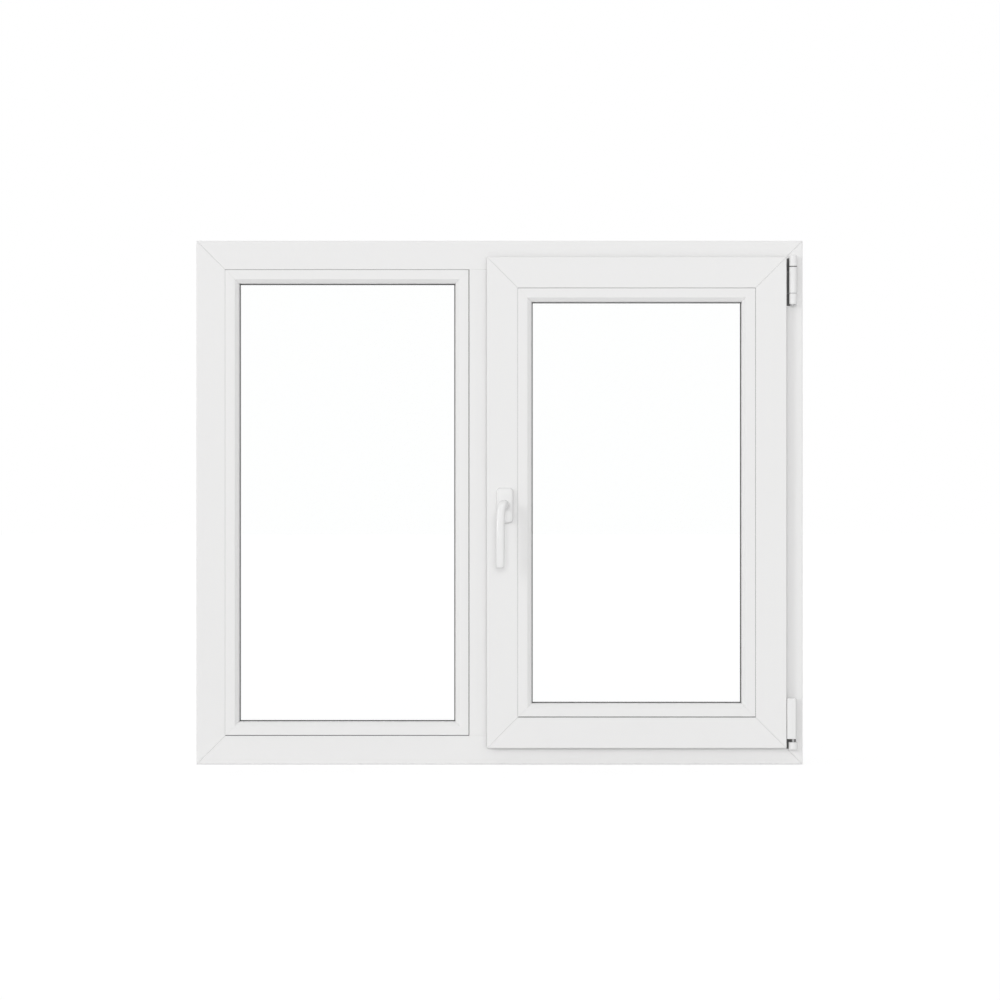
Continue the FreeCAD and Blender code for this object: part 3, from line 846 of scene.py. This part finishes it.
def lugMesh(start, end, roundTop):
    # a hinge lug: a barrel with one soft end, and a web back to the frame
    r, soft, cut, inner = (hinge[key] for key in ("lug", "lugRound", "lugCut", "innerCut"))
    steps = hinge["roundSteps"]
    angles = [math.pi / 2 * k / steps for k in range(steps + 1)]
    curve = [(soft * (1 - math.sin(a)), r - soft * (1 - math.cos(a))) for a in angles]
    if roundTop:
        profile = [(start, r - cut), (start + cut, r)] + [(end - h, radius) for h, radius in curve]
    else:
        profile = [(start + h, radius) for h, radius in reversed(curve)]
        profile += [(end - inner, r), (end, r - inner)]
    half, short = hinge["web"] / 2, hinge["webShort"]
    walls = (hinge["x"] - half, hinge["y"], hinge["x"] + half, frameFront)
    layers = softEnds(start + short, end - short, hinge["webCut"])
    web = layered(walls, hinge["webRound"], layers, "z")
    return together(turned(profile, place, "z", hinge["steps"]), web)


def hingePad(name, box, face, thick, body):
    # a thin black pad on a face, sunk into it a little
    y, cut = face - thick, hinge["padCut"]
    layers = [(y, cut), (y + cut, 0), (face + hinge["padSunk"], 0)]
    newPiece(name, layered(box, hinge["padRound"], layers, "y"), blackPlastic, body)


lowerLug = lugMesh(topLow, topLow + lugHeight, False)
mesh = together(lowerLug, lugMesh(topHigh - lugHeight, topHigh, True))
newPiece("topHingeLugs", mesh, paint, "frame", ["top_hinge_bracket"])
start, end = knuckleLow + hinge["sleeveShort"][0], knuckleHigh - hinge["sleeveShort"][1]
profile = rod(start, end, hinge["sleeve"], hinge["sleeveCut"], hinge["sleeveCut"])
mesh = turned(profile, place, "z", hinge["steps"])
newPiece("topHingeSleeve", mesh, paint, "stay_arm")
r, cut, rise = hinge["washer"], hinge["washerCut"], hinge["washerRise"]
profile = rod(end, end + hinge["washerThick"], r, cut, rise)
mesh = turned(profile, place, "z", hinge["steps"])
newPiece("topHingeWasher", mesh, blackPlastic, "stay_arm")
# a black pad in the narrow gap between the sash's edge and the top hinge: painted shade that
# deepens the gap's own shadow
hingePad("topHingePad", hinge["topShadePad"], frameFront, hinge["pad"], "frame")
hingePad("bottomHingePad", hinge["bottomPad"], frameFront, hinge["pad"], "frame")
# a black pad on the stay arm in the same gap: painted shade that deepens the gap's own shadow
hingePad("stayStrapPad", hinge["strapShadePad"], hinge["strapFront"], hinge["strapPadThick"], "stay_arm")

dome = turned(stay["rivet"], (0, 0, 0), "z", stay["rivetSteps"])
first, step, count = stay["rivets"]
mesh = inRow(dome, (first, stay["rivetY"], stay["top"]), (step, 0, 0), count, steel)
newPiece("stayRivets", mesh, None, "stay_arm")
mesh = turned(stay["roller"], (armPin["x"], armPin["y"], 0), "z", stay["rollerSteps"])
newPiece("stayRoller", mesh, blackPlastic, "stay_arm")

z0, z1, foot = cover["low"], cover["high"], cover["foot"]
layers = [(z0, foot), (z0 + foot, 0)] + [(z1 - h, inset) for h, inset in cover["crown"]]
mesh = layered(cover["box"], cover["corner"], layers, "z")
newPiece("bottomHingeCover", mesh, paint, "sash", ["sash_hinge_knuckle"])
half, r, tilt = tiltPin["crossLength"] / 2, tiltPin["radius"], tiltPin["z"]
profile = rod(-half, half, tiltPin["cross"], tiltPin["cut"], tiltPin["cut"])
cross = turned(profile, (hinge["x"], hinge["y"], tilt), "x", tiltPin["steps"])
neck = turned([(tilt, r), (z0 + tiltPin["inCover"], r)], place, "z", tiltPin["steps"])
newPiece("bottomHingePin", together(cross, neck), steel, "sash")
start, end = z0 + cover["gasketShort"][0], z1 - cover["gasketShort"][1]
mesh = layered(cover["gasket"], cover["gasketRound"], softEnds(start, end, cover["gasketCut"]), "z")
newPiece("bottomHingeGasket", mesh, blackPlastic, "sash")
print("hinges made")


# handle

handle = {
    "x": 9.5, "z": 470.0, "corner": 8.0,
    "rosetteLayers": [(0, 0), (4.5, 0), (8.0, 0.5), (9.8, 1.4), (10.7, 2.7), (11.0, 4.4)],
    "collar": [(10.4, 9.2), (12.2, 9.2), (12.8, 8.9), (13.1, 8.3)],
    # x, y, z, half width, half thickness and squareness along the lever
    "lever": [
        (9.5, -62.0, 470.0, 7.5, 7.5, 2.0), (9.5, -73.0, 470.2, 7.4, 7.4, 2.0),
        (9.3, -83.0, 471.2, 7.4, 7.5, 2.0), (8.2, -89.4, 472.3, 7.7, 7.7, 2.1),
        (5.6, -93.6, 470.3, 7.9, 7.6, 2.3), (3.4, -95.2, 463.5, 7.8, 6.8, 2.5),
        (2.0, -96.4, 452.0, 7.7, 6.2, 2.7), (1.3, -98.4, 436.0, 7.75, 5.9, 2.8),
        (1.3, -100.2, 414.0, 7.75, 5.6, 2.9), (1.3, -100.4, 396.0, 7.75, 5.4, 3.0),
        (1.3, -100.7, 372.0, 7.6, 5.1, 3.0), (1.3, -101.0, 362.5, 7.3, 4.7, 2.9),
        (1.3, -101.1, 359.0, 6.6, 4.0, 2.6), (1.3, -101.2, 357.3, 4.6, 2.6, 2.3),
    ],
    "between": 6, "round": 32, "collarSteps": 48,
}


def between(a, b, c, d, t):
    # a value from b to c on the smooth curve through a, b, c and d
    square, cube = 2 * a - 5 * b + 4 * c - d, 3 * b - a - 3 * c + d
    return 0.5 * (2 * b + (c - a) * t + square * t * t + cube * t ** 3)


def smoothPath(points, steps):
    # points in between, on a curve that passes through each given one
    path, last = [], len(points) - 1
    for i in range(last):
        four = [points[max(min(k, last), 0)] for k in (i - 1, i, i + 1, i + 2)]
        for step in range(steps):
            path.append(tuple(between(*values, step / steps) for values in zip(*four)))
    return path + [tuple(points[-1])]


def leverMesh():
    path, count = smoothPath(handle["lever"], handle["between"]), handle["round"]
    rings = []
    for i, (x, y, z, wide, thick, square) in enumerate(path):
        ahead, behind = path[min(i + 1, len(path) - 1)], path[max(i - 1, 0)]
        forward = (Vector(ahead[:3]) - Vector(behind[:3])).normalized()
        sideways = (Vector((1, 0, 0)) - forward * forward.x).normalized()
        upright = forward.cross(sideways)
        ring = []
        for k in range(count):
            c, s = math.cos(math.tau * k / count), math.sin(math.tau * k / count)
            a = math.copysign(abs(c) ** (2 / square), c) * wide
            b = math.copysign(abs(s) ** (2 / square), s) * thick
            ring.append(tuple(Vector((x, y, z)) + sideways * a + upright * b))
        rings.append(ring)
    return skin(rings)


layers = [(sashFront - h, inset) for h, inset in handle["rosetteLayers"]]
mesh = layered(outlineOf("handle_rosette"), handle["corner"], layers, "y")
newPiece("handleRosette", mesh, paint, "sash", ["handle_rosette"])
profile = [(sashFront - h, r) for h, r in handle["collar"]]
mesh = turned(profile, (handle["x"], 0, handle["z"]), "y", handle["collarSteps"])
newPiece("handleCollar", mesh, paint, "sash")
newPiece("handleLever", leverMesh(), paint, "handle", ["handle_lever"], sharp=60)
print("handle made")


# lock parts in the edges

lock = {
    "step": 298.0, "count": 3, "middle": -27.0,
    "plateX": 11.0, "screw": 3.6, "screwRows": (130.0, 225.0), "camFirst": 159.0,
    "camHead": [(2.1, 4.4), (1.6, 5.4), (0.5, 5.4), (0.0, 4.9), (0.0, 2.3), (1.4, 2.1)],
    "camSteps": 24,
}
keep = {
    "x": -1.0, "first": 177.0, "half": 40.0, "wide": 9.0, "corner": 4.0,
    "plate": [(0, 0), (1.6, 0), (2.0, 0.4)], "rib": [(0.5, 0), (2.6, 0), (3.0, 0.5)],
    "ribWide": 2.6, "ribHalf": 26.0, "ribRound": 1.2, "screw": 3.2, "screwAway": 33.0,
}
cornerDrive = {"leg": 11.6, "thick": 2.3, "outerRound": 3.0, "innerRound": 1.2, "play": 0.1}


def keepMesh():
    # a keep: a rounded plate with two low ribs that the cam runs between, and a screw at each end
    long, wide, reach = keep["half"], keep["wide"], keep["ribHalf"]
    parts = [layered((-wide, -long, wide, long), keep["corner"], keep["plate"], "x")]
    for side in (-1, 1):
        y0, y1 = sorted((side * wide, side * (wide - keep["ribWide"])))
        parts.append(layered((y0, -reach, y1, reach), keep["ribRound"], keep["rib"], "x"))
    face = keep["plate"][-1][0]
    for side in (-1, 1):
        screw = screwHead(keep["screw"], "x", 1)
        screw.transform(Matrix.Translation(Vector((face, 0, side * keep["screwAway"])) * mm))
        parts.append(screw)
    return together(*parts)


step, count = (0, 0, lock["step"]), lock["count"]
mesh = inRow(keepMesh(), (keep["x"], lock["middle"], keep["first"]), step, count, steel)
newPiece("lockKeeps", mesh, None, "frame", ["lock_keeps"])
screws = []
for first in lock["screwRows"]:
    screw = screwHead(lock["screw"], "x", -1)
    screws.append(inRow(screw, (lock["plateX"], lock["middle"], first), step, count, steel))
newPiece("faceplateScrews", together(*screws), steel, "sash")
head = turned(lock["camHead"], (0, 0, 0), "x", lock["camSteps"])
mesh = inRow(head, (low("locking_rail", 0), lock["middle"], lock["camFirst"]), step, count, steel)
newPiece("camHeads", mesh, None, "locking_rail")

x, bottom = sashEdge[0] + sashBar["body"], sashEdge[1] + sashBar["body"]
top = sashEdge[3] - sashBar["body"]
front = sashFront + sashBar["grooveFront"] + cornerDrive["play"]
back = sashFront + sashBar["grooveBack"] - cornerDrive["play"]
leg, thick = cornerDrive["leg"], cornerDrive["thick"]
outer, inner = cornerDrive["outerRound"], cornerDrive["innerRound"]
corners = []
for z, up in ((bottom, 1), (top, -1)):
    outline = rounded([
        (x, z + up * leg), (x, z, outer), (x + leg, z), (x + leg, z + up * thick),
        (x + thick, z + up * thick, inner), (x + thick, z + up * leg),
    ])
    corners.append(pushed(outline, front, back, "y"))
newPiece("cornerDrives", together(*corners), steel, "sash")
print("lock parts made")


# drainage caps outside

cap = {
    "box": (-21.0, 14.0, 21.0, 26.0), "corner": 3.0,
    "layers": [(0, 0), (2.6, 0), (4.2, 0.6), (4.9, 2.0)],
    "slot": (-15.0, 16.4, 15.0, 18.4), "slotRound": 0.9, "slotLayers": [(4.0, 0), (4.95, 0)],
    "first": -400.0, "step": 400.0, "count": 3,
}
first, step = (cap["first"], frameBack, 0), (cap["step"], 0, 0)
mesh = layered(cap["box"], cap["corner"], cap["layers"], "y")
mesh = inRow(mesh, first, step, cap["count"], plasticAcross)
newPiece("drainCaps", mesh, None, "frame", ["drain_caps"])
mesh = layered(cap["slot"], cap["slotRound"], cap["slotLayers"], "y")
mesh = inRow(mesh, first, step, cap["count"], blackPlastic)
newPiece("drainCapSlots", mesh, None, "frame")
print("drainage caps made")


# finishes of the nodes that stay

kept = {
    "mullion": plasticUp, "sash_stop_seal": rubberAndShade, "sash_overlap_seal": rubberAndShade,
    "fixed_spacer": spacerMetal, "sash_spacer": spacerMetal,
    "top_hinge_pin": steel, "stay_arm": steel,
    "bottom_hinge_bearing": paint, "bottom_hinge_cup": steel,
    "sash_faceplates": steel, "locking_rail": steel,
}
for node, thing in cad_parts.items():
    chosen = kept.get(node, plasticUp)
    if not thing.data.materials:
        thing.data.materials.append(chosen)
    for i in range(len(thing.data.materials)):
        thing.data.materials[i] = chosen
print("kept nodes finished")


# stage, light and camera

stage = {
    "reach": 60.0, "low": -0.0005, "glow": 0.55, "glowStrength": 1.366, "floor": 0.80, "sky": 0.605,
    "keyPower": 0.51, "keyFrom": (-0.68, -0.68, 0.24), "keySoft": 18.0,
    "fillPower": 1.20, "fillFrom": (0.0, -1.0, 0.10), "fillSoft": 24.0,
    "backPower": 1.20, "backFrom": (-0.05, 1.0, 0.10), "backSoft": 24.0, "lampAway": 6.0,
}
view = {
    "pixels": 1000, "mmPerPixel": 1.8145, "centreX": 499.5, "centreY": 502.6,
    "away": 9.0, "sensor": 36.0, "near": 0.05, "far": 200.0,
}


def seenShare(graph):
    # 1 where a ray comes from the camera, a reflection or through glass
    seen = None
    for kind in ("Is Camera Ray", "Is Glossy Ray", "Is Transmission Ray"):
        ray = graph.node("ShaderNodeLightPath", out=kind)
        seen = ray if seen is None else seen + ray
    return seen.count("MINIMUM", seen, 1.0)


def worldLight():
    world = bpy.data.worlds.new("plainDaylight")
    scene.world = world
    world.use_nodes = True
    graph = Graph(world.node_tree)
    graph.tree.nodes.clear()
    seen = seenShare(graph)
    strength = seen * (1.0 - stage["sky"]) + stage["sky"]
    sky = graph.node("ShaderNodeBackground", None, {"Color": (1, 1, 1, 1), "Strength": strength})
    end = graph.tree.nodes.new("ShaderNodeOutputWorld")
    graph.tree.links.new(sky.socket, end.inputs["Surface"])


def layFloor():
    # white to the camera, with enough plain surface in it to hold a shadow
    finish = Finish("paleFloor")
    plain = finish.node("ShaderNodeBsdfDiffuse", None, {"Color": grey(stage["floor"])})
    values = {"Color": (1, 1, 1, 1), "Strength": stage["glowStrength"]}
    glow = finish.node("ShaderNodeEmission", None, values)
    share = seenShare(finish) * stage["glow"]
    material = finish.close(finish.node("ShaderNodeMixShader", None, [share, plain, glow]))
    reach = stage["reach"]
    mesh = bpy.data.meshes.new("floor")
    corners = [(-reach, -reach), (reach, -reach), (reach, reach), (-reach, reach)]
    mesh.from_pydata([(x, y, stage["low"]) for x, y in corners], [], [(0, 1, 2, 3)])
    mesh.materials.append(material)
    floor = bpy.data.objects.new("floor", mesh)
    scene.collection.objects.link(floor)


def hangLamp(name):
    lamp = bpy.data.lights.new(name, "SUN")
    lamp.energy = stage[name + "Power"]
    lamp.angle = math.radians(stage[name + "Soft"])
    thing = bpy.data.objects.new(name, lamp)
    start = Vector(stage[name + "From"])
    thing.rotation_euler = start.to_track_quat("Z", "Y").to_euler()
    thing.location = start * stage["lampAway"]
    thing.visible_glossy = name == "key"  # only the key shows as a highlight
    scene.collection.objects.link(thing)


def photoCamera():
    scale = view["mmPerPixel"] * mm
    x = (frameEdge[0] + frameEdge[2]) / 2 * mm + (view["pixels"] / 2 - view["centreX"]) * scale
    z = (frameEdge[1] + frameEdge[3]) / 2 * mm + (view["centreY"] - view["pixels"] / 2) * scale
    camera = bpy.data.cameras.new("photoCamera")
    camera.sensor_width = view["sensor"]
    camera.lens = view["sensor"] * view["away"] / (view["pixels"] * scale)
    camera.clip_start, camera.clip_end = view["near"], view["far"]
    thing = bpy.data.objects.new("photoCamera", camera)
    thing.location = (x, frameFront * mm - view["away"], z)
    thing.rotation_euler = (math.radians(90), 0, 0)
    scene.collection.objects.link(thing)
    scene.camera = thing


worldLight()
layFloor()
for name in ("key", "fill", "back"):
    hangLamp(name)
photoCamera()
scene.view_settings.view_transform = "Standard"
print("stage set")
